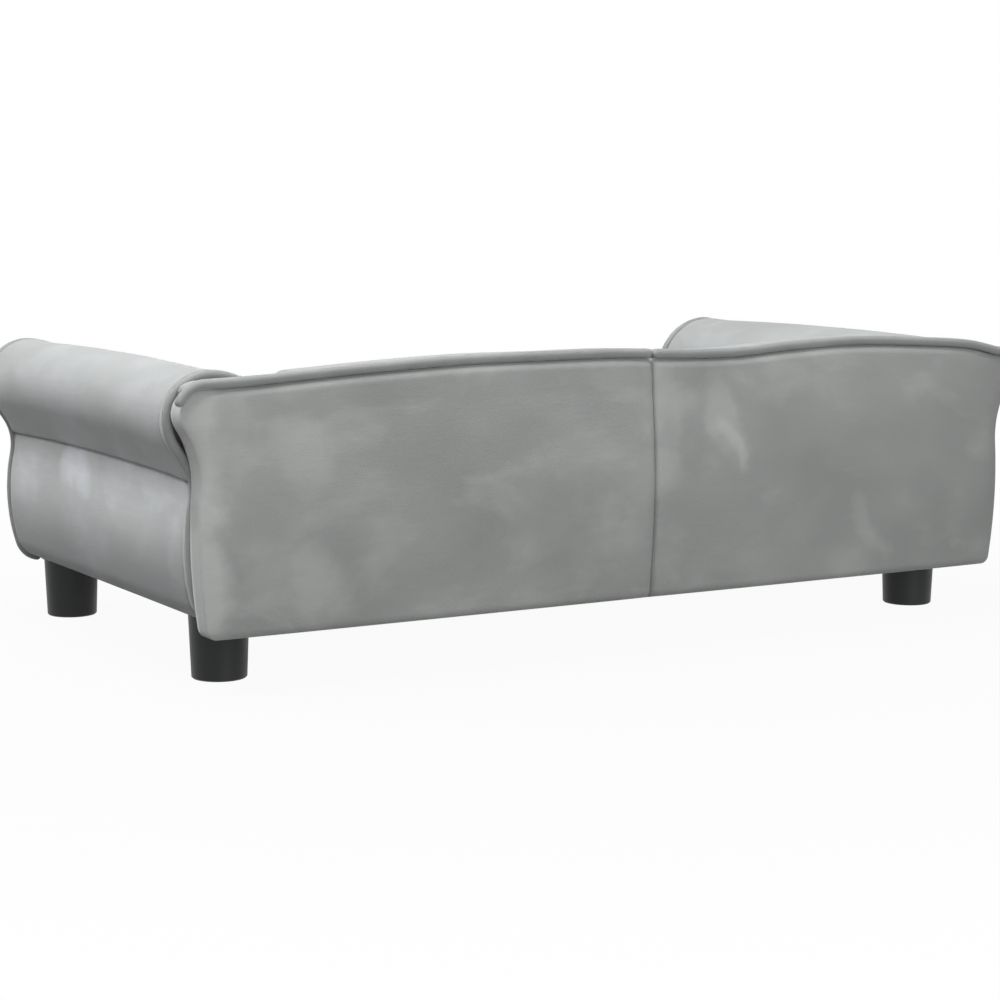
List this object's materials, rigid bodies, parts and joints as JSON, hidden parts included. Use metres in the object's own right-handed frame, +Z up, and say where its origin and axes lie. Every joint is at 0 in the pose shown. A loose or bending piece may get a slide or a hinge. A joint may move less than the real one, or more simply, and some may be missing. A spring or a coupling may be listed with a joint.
{
  "type": "dog sofa bed",
  "caption": "Low upholstered pet sofa with scroll arms, a wavy welted back, a loose zipped seat cushion and round screw-in legs",
  "frame": {"origin": "on the floor at the middle of the footprint", "axes": "+X is the right arm as seen from the front, +Y the rear panel, +Z up; the open front faces -Y"},
  "size_m": [0.9408, 0.523, 0.2903],
  "materials": {
    "grey_velvet": "short-pile velvet",
    "welt_velvet": "velvet over cord",
    "black_lining": "matt nonwoven",
    "white_foam": "open-cell foam",
    "black_plastic": "satin",
    "zinc_steel": "zinc plated",
    "zip_cloth": "woven tape",
    "zip_metal": "enamel",
    "board_wood": "sawn plywood and pine"
  },
  "bodies": {
    "sofa": {"arm_battens_left": "board_wood", "arm_battens_right": "board_wood", "arm_cover_left": "grey_velvet", "arm_cover_right": "grey_velvet", "arm_facing_left": "grey_velvet", "arm_facing_right": "grey_velvet", "arm_foam_left": "white_foam", "arm_foam_right": "white_foam", "arm_front_board_left": "board_wood", "arm_front_board_right": "board_wood", "arm_front_welt_left": "welt_velvet", "arm_front_welt_right": "welt_velvet", "arm_rear_board_left": "board_wood", "arm_rear_board_right": "board_wood", "arm_rear_welt_left": "welt_velvet", "arm_rear_welt_right": "welt_velvet", "back_board": "board_wood", "back_foam": "white_foam", "back_welt_left": "welt_velvet", "back_welt_right": "welt_velvet", "base_centre_rail": "board_wood", "base_front_rail": "board_wood", "base_rear_rail": "board_wood", "base_side_rail_left": "board_wood", "base_side_rail_right": "board_wood", "deck_board": "board_wood", "deck_cover": "black_lining", "dust_cover": "black_lining", "frame_screws": "zinc_steel", "front_rail_cover": "grey_velvet", "front_rail_foam": "white_foam", "inner_back_cover": "grey_velvet", "leg_blocks": "board_wood", "leg_front_left": "black_plastic", "leg_front_right": "black_plastic", "leg_rear_left": "black_plastic", "leg_rear_right": "black_plastic", "leg_studs": "zinc_steel", "rear_panel_left": "grey_velvet", "rear_panel_right": "grey_velvet", "rear_wadding_left": "white_foam", "rear_wadding_right": "white_foam", "side_panel_left": "grey_velvet", "side_panel_right": "grey_velvet", "tee_nuts": "zinc_steel"},
    "seat_cushion": {"cushion_core": "white_foam", "cushion_cover": "grey_velvet", "cushion_welt_top": "welt_velvet", "cushion_welt_bottom": "welt_velvet", "zip_tape": "zip_cloth", "zip_stops": "zip_metal"},
    "zip_slider": {"zip_slider": "zip_metal"}
  },
  "joints": [
    {"name": "cushion_lift", "type": "slide", "parent": "sofa", "child": "seat_cushion", "axis": [0, 0, 1], "range_m": [0, 0.22]},
    {"name": "zip_run", "type": "slide", "parent": "seat_cushion", "child": "zip_slider", "axis": [1, 0, 0], "range_m": [0, 0.472]}
  ]
}
